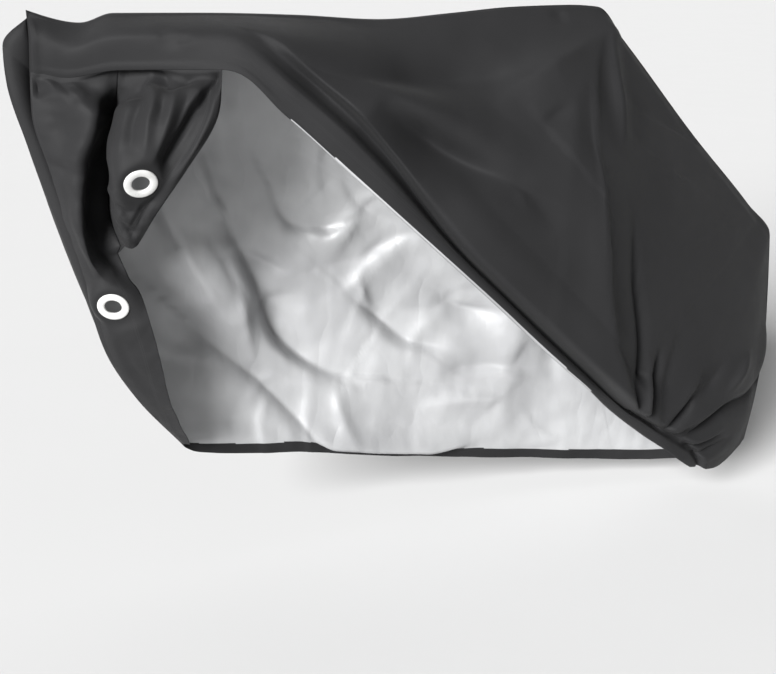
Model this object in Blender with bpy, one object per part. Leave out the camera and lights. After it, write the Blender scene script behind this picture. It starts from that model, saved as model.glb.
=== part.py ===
"""A fitted bicycle cover, draped and hanging: two side panels that meet at the ridge seam, the nose strip
and the near flap that hold the two lock eyelets, and the eyelets. Metres, +Z up, -X towards the nose,
-Y the near side, whose hem is drawn up so that the cover stands open there.

The tables below give places in the bicycle's own axes: x from halfway between its axles, z from the
floor. The finished part has its origin where the saddle carries the top.
"""

import math

import bmesh
import bpy
import mathutils
import numpy as np

CLOTH = 0.002  # thickness of the cloth
SEAM_GAP = 0.0004  # between two pieces that are sewn to each other
HEM_DEPTH = 0.032  # height of the hem's casing
HEM_EXTRA = 0.0015  # how much thicker the cloth is where the hem is turned over
SADDLE_REST = np.array((0.480, 0.000, 1.150))  # underside of the top, where the saddle carries it
FRONT_INWARDS = np.array((0.30, 0.95, 0.00))  # the way in from the fold over the handlebar and from the valley
MOST_MITRE = 2.0  # longest seam edge, as a multiple of the cloth's thickness

# Sections of the two side panels, from the nose to the foot of the tail. Each runs over the ridge seam.
#    name         near hem                near waist              ridge                  far shoulder           far waist              far hem
SECTIONS = (
    ("nose",      (-0.608, +0.190, 1.049), (-0.607, +0.180, 1.105), (-0.605, 0.200, 1.157), (-0.608, 0.190, 1.049), (-0.529, 0.184, 0.620), (-0.362, 0.195, 0.282)),
    ("far grip",  (-0.592, +0.179, 1.045), (-0.594, +0.168, 1.102), (-0.594, 0.199, 1.153), (-0.649, 0.204, 1.098), (-0.542, 0.206, 0.620), (-0.352, 0.208, 0.266)),
    ("dip",       (-0.548, +0.148, 1.038), (-0.540, +0.135, 1.088), (-0.515, 0.178, 1.134), (-0.575, 0.270, 1.035), (-0.492, 0.260, 0.660), (-0.290, 0.225, 0.235)),
    ("brakes",    (-0.470, +0.095, 1.052), (-0.480, +0.090, 1.106), (-0.460, 0.155, 1.151), (-0.490, 0.262, 1.030), (-0.400, 0.275, 0.690), (-0.205, 0.230, 0.216)),
    ("stem",      (-0.313, -0.015, 1.055), (-0.315, +0.008, 1.112), (-0.300, 0.108, 1.150), (-0.300, 0.215, 1.010), (-0.220, 0.258, 0.680), (-0.090, 0.225, 0.198)),
    ("lever",     (-0.214, -0.075, 0.973), (-0.172, -0.060, 1.075), (-0.130, 0.072, 1.144), (-0.110, 0.175, 0.990), (-0.060, 0.240, 0.670), (+0.040, 0.220, 0.168)),
    ("near grip", (-0.112, -0.122, 0.868), (-0.030, -0.118, 1.015), (+0.030, 0.045, 1.134), (+0.050, 0.145, 0.980), (+0.080, 0.222, 0.660), (+0.170, 0.220, 0.140)),
    ("frame",     (-0.006, -0.155, 0.764), (+0.085, -0.148, 0.915), (+0.170, 0.022, 1.144), (+0.185, 0.120, 0.980), (+0.210, 0.205, 0.650), (+0.290, 0.210, 0.118)),
    ("pedals",    (+0.168, -0.180, 0.598), (+0.235, -0.150, 0.840), (+0.300, 0.008, 1.154), (+0.310, 0.100, 0.985), (+0.330, 0.185, 0.640), (+0.400, 0.200, 0.100)),
    ("stays",     (+0.350, -0.158, 0.432), (+0.365, -0.135, 0.750), (+0.420, 0.000, 1.156), (+0.420, 0.085, 1.010), (+0.420, 0.165, 0.630), (+0.480, 0.190, 0.088)),
    ("saddle",    (+0.525, -0.130, 0.284), (+0.440, -0.122, 0.640), (+0.500, 0.000, 1.151), (+0.500, 0.078, 1.000), (+0.505, 0.150, 0.620), (+0.560, 0.170, 0.078)),
    ("rack",      (+0.577, -0.121, 0.242), (+0.560, -0.105, 0.600), (+0.570, 0.000, 1.080), (+0.570, 0.070, 0.920), (+0.580, 0.135, 0.570), (+0.620, 0.155, 0.070)),
    ("rear axle", (+0.645, -0.109, 0.186), (+0.700, -0.095, 0.520), (+0.770, 0.000, 0.865), (+0.755, 0.060, 0.740), (+0.730, 0.115, 0.460), (+0.710, 0.125, 0.062)),
    ("tyre",      (+0.677, -0.104, 0.160), (+0.805, -0.088, 0.440), (+0.940, 0.000, 0.695), (+0.905, 0.050, 0.600), (+0.850, 0.095, 0.370), (+0.780, 0.100, 0.058)),
    ("tail tip",  (+0.692, -0.101, 0.148), (+0.850, -0.082, 0.390), (+1.012, 0.000, 0.615), (+0.970, 0.045, 0.530), (+0.900, 0.085, 0.330), (+0.820, 0.085, 0.058)),
    ("tail",      (+0.712, -0.096, 0.133), (+0.880, -0.075, 0.265), (+1.018, 0.000, 0.380), (+0.990, 0.035, 0.330), (+0.940, 0.065, 0.220), (+0.870, 0.065, 0.062)),
    ("tail heel", (+0.727, -0.090, 0.122), (+0.880, -0.062, 0.160), (+0.998, 0.000, 0.220), (+0.982, 0.024, 0.190), (+0.952, 0.045, 0.140), (+0.905, 0.045, 0.072)),
    ("tail foot", (+0.740, -0.085, 0.114), (+0.855, -0.045, 0.086), (+0.972, 0.000, 0.112), (+0.969, 0.010, 0.105), (+0.963, 0.018, 0.097), (+0.950, 0.030, 0.086)),
)

# The nose strip, level by level. At the top it hangs from the fold over the handlebar; its seam runs down
# the front of the cover, and its free side is folded back into the valley, then ends in the hem.
#    level           seam                     crest                    lip                      valley, lower down the hem
NOSE = (
    ("fold",        (-0.608, +0.190, 1.049), (-0.565, +0.160, 1.040), (-0.520, +0.130, 1.043), (-0.470, +0.095, 1.052)),
    ("grip",        (-0.612, +0.178, 0.975), (-0.570, +0.132, 0.975), (-0.508, +0.085, 0.975), (-0.462, +0.170, 0.965)),
    ("upper",       (-0.590, +0.175, 0.875), (-0.566, +0.138, 0.878), (-0.530, +0.100, 0.880), (-0.470, +0.205, 0.870)),
    ("middle",      (-0.565, +0.175, 0.785), (-0.552, +0.145, 0.785), (-0.530, +0.115, 0.785), (-0.478, +0.200, 0.780)),
    ("flap end",    (-0.546, +0.178, 0.710), (-0.536, +0.148, 0.710), (-0.515, +0.118, 0.710), (-0.470, +0.150, 0.712)),
    ("eyelet",      (-0.527, +0.185, 0.605), (-0.512, +0.145, 0.606), (-0.480, +0.124, 0.610), (-0.444, +0.112, 0.615)),
    ("tyre",        (-0.503, +0.188, 0.500), (-0.488, +0.158, 0.503), (-0.454, +0.135, 0.508), (-0.420, +0.115, 0.510)),
    ("rim",         (-0.452, +0.192, 0.400), (-0.438, +0.170, 0.403), (-0.418, +0.150, 0.405), (-0.400, +0.132, 0.405)),
    ("foot",        (-0.362, +0.195, 0.282), (-0.360, +0.186, 0.283), (-0.356, +0.177, 0.285), (-0.352, +0.168, 0.287)),
)

# The near flap, level by level, bunched between the handlebar and the head tube. It starts in the nose
# strip's valley, comes forward to its edge and ends in the hem.
#    level           edge                     middle                   hem
FLAP = (
    ("fold",        (-0.440, +0.073, 1.053), (-0.385, +0.035, 1.054), (-0.313, -0.015, 1.055)),
    ("grip",        (-0.477, +0.055, 0.975), (-0.420, -0.010, 0.985), (-0.330, -0.035, 0.975)),
    ("upper",       (-0.508, +0.030, 0.890), (-0.450, -0.025, 0.905), (-0.386, -0.020, 0.880)),
    ("middle",      (-0.503, +0.045, 0.800), (-0.470, +0.020, 0.810), (-0.434, +0.015, 0.800)),
    ("flap end",    (-0.482, +0.065, 0.735), (-0.474, +0.055, 0.732), (-0.464, +0.052, 0.738)),
)

# Folds of the side panels as the eye meets them from the side. Each runs from start to end with a bow at
# its middle, rises out of the cloth, or sinks below 0, and dies away over its two widths.
#    start x, z      end x, z          bow     rise    width to the front, to the rear
NEAR_FOLDS = (
    ((+0.462, 1.080), (+0.590, 0.225), -0.045, +0.022, 0.075, 0.030),  # crest from the saddle to the gather
    ((+0.560, 0.560), (+0.625, 0.240), +0.010, -0.018, 0.028, 0.040),  # band behind it
    ((+0.490, 1.060), (+0.530, 0.780), +0.000, +0.010, 0.022, 0.030),  # short ridge off the saddle
    ((+0.450, 1.075), (+0.200, 0.960), +0.010, +0.016, 0.050, 0.060),  # upper rib of the fan
    ((+0.455, 1.060), (+0.330, 0.700), -0.010, +0.014, 0.070, 0.050),  # broad rib of the fan
    ((+0.390, 0.900), (+0.330, 0.640), +0.000, -0.012, 0.035, 0.030),  # dip between the ribs
    ((-0.020, 0.920), (+0.230, 0.790), -0.020, -0.022, 0.045, 0.050),  # trough behind the grip
    ((-0.120, 1.060), (+0.180, 1.040), -0.010, -0.010, 0.040, 0.050),  # long dip under the ridge
    ((+0.000, 0.860), (+0.540, 0.330), +0.000, +0.014, 0.045, 0.045),  # roll above the hem
    ((-0.170, 0.990), (+0.020, 0.860), +0.000, +0.020, 0.040, 0.045),  # roll over the near grip
    ((+0.690, 0.180), (+0.815, 0.320), +0.010, -0.014, 0.025, 0.025),  # gather, towards the tyre
    ((+0.700, 0.160), (+0.970, 0.240), +0.015, -0.014, 0.022, 0.026),  # gather, long fold to the tail
    ((+0.640, 0.220), (+0.650, 0.460), +0.010, -0.014, 0.020, 0.022),  # gather, upwards
    ((+0.730, 0.130), (+0.900, 0.140), +0.006, -0.010, 0.016, 0.018),  # gather, along the foot
    ((+0.930, 0.300), (+0.985, 0.560), +0.010, +0.010, 0.040, 0.040),  # rounding of the tail
)
FAR_FOLDS = (
    ((-0.190, 0.640), (+0.020, 0.340), -0.040, +0.040, 0.045, 0.060),  # deep valley behind the frame
    ((-0.300, 0.380), (+0.180, 0.145), -0.035, -0.030, 0.060, 0.050),  # swoop down to the hem
    ((+0.050, 0.780), (+0.300, 0.560), +0.020, -0.022, 0.050, 0.060),  # fold across the middle
    ((-0.060, 0.560), (+0.140, 0.720), +0.010, +0.020, 0.040, 0.040),  # tuck above the valley
    ((-0.400, 0.900), (-0.200, 0.450), +0.030, -0.020, 0.060, 0.060),  # fold down from the far grip
    ((+0.470, 1.000), (+0.400, 0.200), +0.030, -0.022, 0.060, 0.070),  # fold down from the saddle
    ((+0.510, 1.020), (+0.640, 0.250), -0.020, -0.018, 0.050, 0.060),  # second fold down from the saddle
    ((+0.700, 0.700), (+0.800, 0.150), -0.010, +0.014, 0.050, 0.050),  # hollow over the wheel
)

# Pleats of the near flap: where each starts on the fold and ends at the foot, as shares of the width.
#    top    foot   rise    width
PLEATS = (
    (0.42, 0.46, +0.010, 0.035),
    (0.54, 0.58, -0.010, 0.040),
    (0.66, 0.66, +0.011, 0.040),
    (0.79, 0.76, -0.012, 0.035),
    (0.90, 0.88, +0.008, 0.030),
)

# The two eyelets: place of the hole's middle on the cloth's outer face, and the way the face looks.
EYELETS = {
    "eyelet_near": ((-0.466, -0.005, 0.862), (-0.10, -0.88, -0.46)),
    "eyelet_nose": ((-0.497, +0.132, 0.606), (-0.40, -0.84, -0.37)),
}
EYELET_BORE = 0.016  # radius of the opening
EYELET_FACE = 0.030  # radius of the front flange
EYELET_BACK = 0.024  # radius of the back flange
EYELET_CUT = 0.0192  # radius of the hole in the cloth
FLANGE = 0.0032  # thickness of the front flange
WASHER = 0.0016  # thickness of the back flange
FLAT_WITHIN, FLAT_FADES = 0.046, 0.080  # the cloth is flat out to the first radius and drapes past the second

SIDE_GRID = 0.040  # spacing of the side panels' points along the ridge
NEAR_STEPS = 20  # from the ridge to the hem
FIRST_STEP, MOST_STEP = 0.014, 0.15  # of a side panel: the least at the ridge, and the most at either end, as a share
CREASE_STEPS, SEAM_STEPS = 2, 12  # of the far panel: down the crease at the far grip, then down the front seam
STRIP_FINER = 3  # steps of the strip and the flap for each step of the panel they are sewn to
TURN_STEPS = 32  # sides of an eyelet


def columns(table):
    """The points of a table without its names, as rows x columns x 3."""
    return np.array([row[1:] for row in table])


def unit(vectors):
    return vectors / np.linalg.norm(vectors, axis=-1, keepdims=True)


def run(points):
    """Distance along a line of points, from 0 to 1."""
    steps = np.linalg.norm(np.diff(points, axis=0), axis=-1)
    return np.concatenate([[0.0], np.cumsum(steps)]) / steps.sum()


def smooth(knots, values, at):
    """Cubic through the values, without overshoot: level where they turn, else with the mean of the slopes beside."""
    step = np.diff(knots)
    slope = np.diff(values, axis=0) / step.reshape((-1,) + (1,) * (values.ndim - 1))
    before, after = (part.reshape((-1,) + (1,) * (values.ndim - 1)) for part in (step[:-1], step[1:]))
    mean = (slope[:-1] * after + slope[1:] * before) / (before + after)
    least = np.minimum(np.abs(slope[:-1]), np.abs(slope[1:]))
    inner = np.where(slope[:-1] * slope[1:] > 0, np.sign(mean) * np.minimum(np.abs(mean), 2 * least), 0.0)
    tangent = np.concatenate([slope[:1], inner, slope[-1:]])
    i = np.clip(np.searchsorted(knots, at, side="right") - 1, 0, len(step) - 1)
    shape = (-1,) + (1,) * (values.ndim - 1)
    h, t = step[i].reshape(shape), ((at - knots[i]) / step[i]).reshape(shape)
    return (
        (2 * t**3 - 3 * t**2 + 1) * values[i]
        + (t**3 - 2 * t**2 + t) * h * tangent[i]
        + (3 * t**2 - 2 * t**3) * values[i + 1]
        + (t**3 - t**2) * h * tangent[i + 1]
    )


def stations(points, spacing):
    """Shares along a line of points that include every point, about the spacing apart."""
    knots = run(points)
    lengths = np.linalg.norm(np.diff(points, axis=0), axis=-1)
    parts = [
        np.linspace(a, b, max(1, round(length / spacing)), endpoint=False)
        for a, b, length in zip(knots[:-1], knots[1:], lengths)
    ]
    return np.concatenate(parts + [[1.0]])


def loft(points, along, knots_along, across):
    """Surface through rows of points: smooth from row to row, then from column to column."""
    rows = smooth(knots_along, points, along)
    knots_across = run(points.mean(axis=0))
    return smooth(knots_across, rows.transpose(1, 0, 2), across).transpose(1, 0, 2)


def normals(surface):
    """Unit normals of a grid of points: the cross product of its two differences."""
    along, across = np.gradient(surface, axis=0), np.gradient(surface, axis=1)
    return unit(np.cross(along, across))


def leaning(surface, edge, beside):
    """For one side of a surface, the way onto the surface and the way down through it, added together."""
    return unit(surface[beside] - surface[edge]) - normals(surface)[edge]


def fade(share):
    """0 to 1 without a corner at either end."""
    share = np.clip(share, 0.0, 1.0)
    return share * share * (3 - 2 * share)


def folds(x, z, table):
    """Height of every fold at each place: a soft bell across its line, fading at both ends."""
    height = np.zeros(np.shape(x))
    for (x0, z0), (x1, z1), bow, rise, front, rear in table:
        length = math.hypot(x1 - x0, z1 - z0)
        tx, tz = (x1 - x0) / length, (z1 - z0) / length
        share = ((x - x0) * tx + (z - z0) * tz) / length
        inside = np.clip(share, 0.0, 1.0)
        off = (x - x0) * abs(tz) - (z - z0) * tx * np.sign(tz) - bow * 4 * inside * (1 - inside)
        width = np.where(off < 0, front, rear)
        ends = fade(share / 0.2 + 0.5) * fade((1 - share) / 0.3 + 0.5)
        height += rise * ends * np.exp(-np.abs(off / width) ** 1.6)
    return height


def flatten(surface, name):
    """The surface with a flat round place for an eyelet. Cloth far behind the eyelet stays as it is."""
    middle, facing = (np.array(value) for value in EYELETS[name])
    facing = unit(facing)
    from_middle = surface - middle
    off = from_middle @ facing
    radius = np.linalg.norm(from_middle - off[..., None] * facing, axis=-1)
    flat = 1 - fade((radius - FLAT_WITHIN) / (FLAT_FADES - FLAT_WITHIN))
    flat = flat * (1 - fade(np.abs(off) / FLAT_WITHIN - 0.5))
    return surface - (flat * off)[..., None] * facing


def along_line(line, steps):
    """Points on the straight pieces of a line, each piece taking an even share of the steps."""
    at = np.linspace(0, len(line) - 1, steps + 1)
    i = np.minimum(at.astype(int), len(line) - 2)
    t = (at - i)[:, None]
    return line[i] * (1 - t) + line[i + 1] * t


def drawn_to(surface, side, line, reach):
    """The surface with one side moved onto a line. The move dies away over this share of the surface."""
    share = np.linspace(0, 1, surface.shape[0 if side == "first row" else 1])
    if side == "first row":
        return surface + (line - surface[0])[None] * (1 - fade(share / reach))[:, None, None]
    return surface + (line - surface[:, 0])[:, None] * (1 - fade(share / reach))[None, :, None]


def sew(outer, inner, thickness, edge, beside, inwards):
    """Mitres one side of a sheet against its neighbour and leaves half of the gap between them."""
    line, into = outer[edge], outer[beside] - outer[edge]
    into, inwards = unit(into), unit(inwards)
    across = unit(np.cross(np.gradient(line, axis=0), inwards))
    across *= np.sign((across * into).sum(-1, keepdims=True))
    sine = np.sqrt(1 - np.clip((into * inwards).sum(-1), -1, 1) ** 2)
    depth = thickness[edge] * np.minimum(1 / np.maximum(sine, 1e-3), MOST_MITRE)
    outer[edge] = line + across * SEAM_GAP * 0.6
    inner[edge] = outer[edge] + inwards * depth[:, None]


def sheet(name, surface, thickness, seams, colour):
    """One closed sheet of cloth: the outer grid, the inner grid below it, and a rim."""
    outer = surface.copy()
    inner = outer - normals(outer) * thickness[..., None]
    for seam in seams:
        sew(outer, inner, thickness, *seam)
    rows, cols = outer.shape[:2]
    index = np.arange(rows * cols).reshape(rows, cols)
    corners = [index[:-1, :-1], index[1:, :-1], index[1:, 1:], index[:-1, 1:]]
    top = np.stack(corners, axis=-1).reshape(-1, 4)
    under = top[:, ::-1] + rows * cols
    rim = np.concatenate([index[0, :-1], index[:-1, -1], index[-1, :0:-1], index[:0:-1, 0]])
    beside = np.roll(rim, -1)
    sides = np.stack([rim, beside, beside + rows * cols, rim + rows * cols], axis=-1)
    points = np.concatenate([outer.reshape(-1, 3), inner.reshape(-1, 3)]) - SADDLE_REST
    mesh = bpy.data.meshes.new(name)
    mesh.from_pydata(points.tolist(), [], np.concatenate([top, under, sides]).tolist())
    return in_scene(name, mesh, colour)


def in_scene(name, mesh, colour):
    mesh.materials.append(colour)
    mesh.shade_smooth()
    mesh.set_sharp_from_angle(angle=math.radians(40))
    obj = bpy.data.objects.new(name, mesh)
    bpy.context.scene.collection.objects.link(obj)
    return obj


def side_panel(points, knots, along, steps):
    """Surface of a side panel, from the ridge to the hem. Its first step clears the seam, its last is the hem's."""
    rows = smooth(knots, points, along)
    lengths = np.linalg.norm(np.diff(rows, axis=1), axis=-1).sum(axis=1)
    first = np.clip(FIRST_STEP / lengths, 1 / steps, MOST_STEP)
    last = np.minimum(HEM_DEPTH / lengths, MOST_STEP)
    knots_across = run(points.mean(axis=0))
    shares = [np.concatenate([[0], np.linspace(a, 1 - b, steps - 1), [1]]) for a, b in zip(first, last)]
    return np.array([smooth(knots_across, row, share) for row, share in zip(rows, shares)])


def hem_thickness(surface, *edges):
    """Thickness over a grid: the cloth's own, and more where the hem is turned over."""
    thickness = np.full(surface.shape[:2], CLOTH)
    for edge in edges:
        thickness[edge] = CLOTH + HEM_EXTRA
    return thickness


def pleats(surface, table):
    """Height of the flap's pleats: soft bells across it that start a little below the fold."""
    down = np.linspace(0, 1, surface.shape[0])[:, None]
    across = np.linspace(0, 1, surface.shape[1])[None, :]
    length = np.linalg.norm(np.diff(surface, axis=1), axis=-1).sum(axis=1)[:, None]
    height = np.zeros(surface.shape[:2])
    for top, foot, rise, width in table:
        off = (across - top - (foot - top) * down) * length
        height += rise * np.exp(-((off / width) ** 2)) * fade(down / 0.25)
    return height


def material(name, colour, roughness):
    made = bpy.data.materials.new(name)
    made.use_nodes = True
    shader = made.node_tree.nodes["Principled BSDF"]
    shader.inputs["Base Color"].default_value = (*colour, 1.0)
    shader.inputs["Roughness"].default_value = roughness
    return made


def place_on_face(obj, name):
    """Puts an object's origin at the eyelet's middle and its +Z along the way the eyelet looks."""
    middle, facing = (mathutils.Vector(value) for value in EYELETS[name])
    obj.location = middle - mathutils.Vector(SADDLE_REST)
    obj.rotation_mode = "QUATERNION"
    obj.rotation_quaternion = facing.to_track_quat("Z", "Y")


def eyelet(name, colour):
    """Ring turned about its own axis: a bore, a front flange, a neck through the cloth and a back flange."""
    neck = EYELET_CUT - SEAM_GAP
    front, back = SEAM_GAP, -CLOTH - SEAM_GAP
    profile = (
        (EYELET_BORE, back - WASHER),
        (EYELET_BORE, front + 0.7 * FLANGE),
        (EYELET_BORE + 0.3 * FLANGE, front + FLANGE),
        (EYELET_FACE - FLANGE, front + FLANGE),
        (EYELET_FACE, front + 0.4 * FLANGE),
        (EYELET_FACE, front),
        (neck, front),
        (neck, back),
        (EYELET_BACK, back),
        (EYELET_BACK, back - WASHER),
    )
    shape = bmesh.new()
    turn = [2 * math.pi * step / TURN_STEPS for step in range(TURN_STEPS)]
    rings = [[shape.verts.new((r * math.cos(a), r * math.sin(a), h)) for a in turn] for r, h in profile]
    for ring, following in zip(rings, rings[1:] + rings[:1]):
        for i in range(TURN_STEPS):
            j = (i + 1) % TURN_STEPS
            shape.faces.new((ring[i], following[i], following[j], ring[j]))
    bmesh.ops.recalc_face_normals(shape, faces=shape.faces)
    mesh = bpy.data.meshes.new(name)
    shape.to_mesh(mesh)
    shape.free()
    place_on_face(in_scene(name, mesh, colour), name)


def cut_hole(cloth, name):
    """Cuts the round hole that an eyelet's neck passes through."""
    mesh = bpy.data.meshes.new("cutter_" + name)
    shape = bmesh.new()
    bmesh.ops.create_cone(
        shape, cap_ends=True, segments=TURN_STEPS, radius1=EYELET_CUT, radius2=EYELET_CUT, depth=0.03
    )
    shape.to_mesh(mesh)
    shape.free()
    cutter = bpy.data.objects.new("cutter_" + name, mesh)
    bpy.context.scene.collection.objects.link(cutter)
    place_on_face(cutter, name)
    cutter.hide_render = True
    cutter.display_type = "WIRE"
    cut = cloth.modifiers.new("eyelet hole", "BOOLEAN")
    cut.operation = "DIFFERENCE"
    cut.object = cutter


def raised(surface, height):
    return surface + normals(surface) * height[..., None]


def build():
    for obj in list(bpy.data.objects):
        bpy.data.objects.remove(obj)
    black = material("outer cloth", (0.022, 0.022, 0.024), 0.55)
    white = material("eyelet plastic", (0.85, 0.85, 0.84), 0.35)

    names = [row[0] for row in SECTIONS]
    sections, nose_levels, flap_levels = columns(SECTIONS), columns(NOSE), columns(FLAP)
    knots = run(sections[:, 2])
    along = stations(sections[:, 2], SIDE_GRID)
    valley_at, fold_end = (int(np.abs(along - knots[names.index(name)]).argmin()) for name in ("brakes", "stem"))
    back = np.linspace(0, 1, len(along))[:, None]

    # The far panel. Its first row is the front seam: the crease at the far grip, then down the nose.
    far = side_panel(sections[:, 2:], knots, along, CREASE_STEPS + SEAM_STEPS)
    crease = smooth(np.linspace(0, 1, 3), sections[0, 2::-1], np.linspace(0, 1, CREASE_STEPS + 1))
    seam = smooth(run(nose_levels[:, 0]), nose_levels[:, 0], np.linspace(0, 1, SEAM_STEPS + 1))
    far = drawn_to(far, "first row", np.concatenate([crease, seam[1:]]), 0.02)
    down = np.linspace(0, 1, far.shape[1])[None, :]
    keep = fade(down / 0.08) * fade(back / 0.08) * fade((1 - back) / 0.06)
    far = raised(far, folds(far[..., 0], far[..., 2], FAR_FOLDS) * keep)

    # The near panel, turned so that it runs from its hem up to the ridge. Its hem starts where the fold ends.
    near = side_panel(sections[:, 2::-1], knots, along, NEAR_STEPS)
    near = drawn_to(near, "first row", along_line(crease, NEAR_STEPS), 0.08)[:, ::-1]
    up = np.linspace(0, 1, near.shape[1])[None, :]
    keep = fade(up / 0.12) * fade((1 - up) / 0.10) * fade(back / 0.08)
    near = raised(near, folds(near[..., 0], near[..., 2], NEAR_FOLDS) * keep)
    fold = near[: fold_end + 1, 0]

    # The nose strip, from the fold down and from the front seam to its free side.
    nose_knots = run(nose_levels.mean(axis=1))
    nose_down = np.linspace(0, 1, STRIP_FINER * SEAM_STEPS + 1)
    nose = loft(nose_levels, nose_down, nose_knots, np.linspace(0, 1, STRIP_FINER * valley_at + 1))
    nose = drawn_to(nose, "first row", along_line(fold[: valley_at + 1], nose.shape[1] - 1), 0.1)
    nose = drawn_to(nose, "first column", along_line(seam, nose.shape[0] - 1), 0.3)
    nose = flatten(nose, "eyelet_nose")
    flap_end = int(np.abs(nose_down - nose_knots[len(FLAP) - 1]).argmin())

    # The near flap, from the fold down and from the valley to its hem.
    points = np.concatenate([nose_levels[: len(FLAP), 3:], flap_levels], axis=1)
    knots_down = nose_knots[: len(FLAP)] / nose_knots[len(FLAP) - 1]
    count = STRIP_FINER * (fold_end - valley_at) + 1
    flap = loft(points, np.linspace(0, 1, flap_end + 1), knots_down, np.linspace(0, 1, count))
    flap = drawn_to(flap, "first row", along_line(fold[valley_at:], count - 1), 0.2)
    flap = raised(flap, pleats(flap, PLEATS))
    flap = drawn_to(flap, "first column", nose[: flap_end + 1, -1], 0.2)
    flap = flatten(flap, "eyelet_near")

    # The way inwards along each seam, halfway between the two surfaces that meet there.
    every, sewn = slice(None), slice(0, fold_end + 1)
    far_front = leaning(far, (0, every), (1, every))
    near_front = leaning(near, (0, every), (1, every))[::-1]
    ridge_inwards = unit(leaning(far, (every, 0), (every, 1)) + leaning(near, (every, -1), (every, -2)))
    crease_inwards = unit(far_front[: CREASE_STEPS + 1] + near_front[:: NEAR_STEPS // CREASE_STEPS])
    seam_inwards = unit(far_front[CREASE_STEPS:] + leaning(nose, (every, 0), (every, 1))[::STRIP_FINER])
    crease_inwards[0] = ridge_inwards[0]
    crease_inwards[-1] = seam_inwards[0] = unit(FRONT_INWARDS)
    front = FRONT_INWARDS[None]

    thickness = hem_thickness(far, (every, -1))
    seams = (
        ((every, 0), (every, 1), ridge_inwards),
        ((0, every), (1, every), np.concatenate([crease_inwards, seam_inwards[1:]])),
    )
    sheet("far_panel", far, thickness, seams, black)
    thickness = hem_thickness(near, (slice(fold_end + 1, None), 0))
    seams = (
        ((every, -1), (every, -2), ridge_inwards),
        ((0, every), (1, every), along_line(crease_inwards, NEAR_STEPS)[::-1]),
        ((sewn, 0), (sewn, 1), front),
    )
    sheet("near_panel", near, thickness, seams, black)
    thickness = hem_thickness(nose, (slice(flap_end + 1, None), -1), (-1, every))
    seams = (
        ((0, every), (1, every), front),
        ((every, 0), (every, 1), along_line(seam_inwards, len(nose) - 1)),
        ((slice(0, flap_end + 1), -1), (slice(0, flap_end + 1), -2), front),
    )
    nose_strip = sheet("nose_strip", nose, thickness, seams, black)
    thickness = hem_thickness(flap, (slice(1, None), -1), (-1, slice(1, None)))
    seams = (((0, every), (1, every), front), ((every, 0), (every, 1), front))
    near_flap = sheet("near_flap", flap, thickness, seams, black)
    cut_hole(nose_strip, "eyelet_nose")
    cut_hole(near_flap, "eyelet_near")
    for name in EYELETS:
        eyelet(name, white)


build()
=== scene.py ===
"""A fitted bicycle cover, draped and hanging: two side panels of black coated cloth with a silver lining
that meet at the ridge seam, a nose strip and a near flap that hold the two white lock eyelets.

The tables give places in the bicycle's own axes, x from halfway between its axles and z from the floor.
The finished pieces stand with their origin where the saddle carries the top. Metres, +Z up.
"""

import math

import bpy
import numpy as np
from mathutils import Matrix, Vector


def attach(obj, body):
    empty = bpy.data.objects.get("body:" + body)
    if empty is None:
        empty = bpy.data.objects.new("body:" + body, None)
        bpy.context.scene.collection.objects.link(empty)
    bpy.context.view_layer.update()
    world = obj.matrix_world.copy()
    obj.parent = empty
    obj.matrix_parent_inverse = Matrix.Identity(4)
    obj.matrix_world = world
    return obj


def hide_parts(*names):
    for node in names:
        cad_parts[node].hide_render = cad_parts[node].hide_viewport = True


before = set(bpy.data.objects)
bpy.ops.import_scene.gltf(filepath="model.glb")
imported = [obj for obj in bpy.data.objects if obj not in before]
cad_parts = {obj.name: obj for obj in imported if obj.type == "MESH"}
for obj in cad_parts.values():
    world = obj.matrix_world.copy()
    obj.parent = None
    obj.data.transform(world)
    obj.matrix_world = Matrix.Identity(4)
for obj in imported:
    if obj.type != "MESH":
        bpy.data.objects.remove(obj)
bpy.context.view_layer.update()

SADDLE_REST = np.array((0.480, 0.000, 1.150))
CLOTH = 0.0011  # thickness of the cloth
HEM_DEPTH = 0.032
FIRST_STEP, MOST_STEP = 0.014, 0.15
NEAR_STEPS, FAR_STEPS, CREASE_STEPS = 20, 14, 2
SPACING = 0.0082  # of the side panels' points along the ridge
LINING_STOPS = 0.026  # the black casing shows on the inside up to here from the hem
BINDING = 0.010  # half width of the black tape on the inside of a seam

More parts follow.
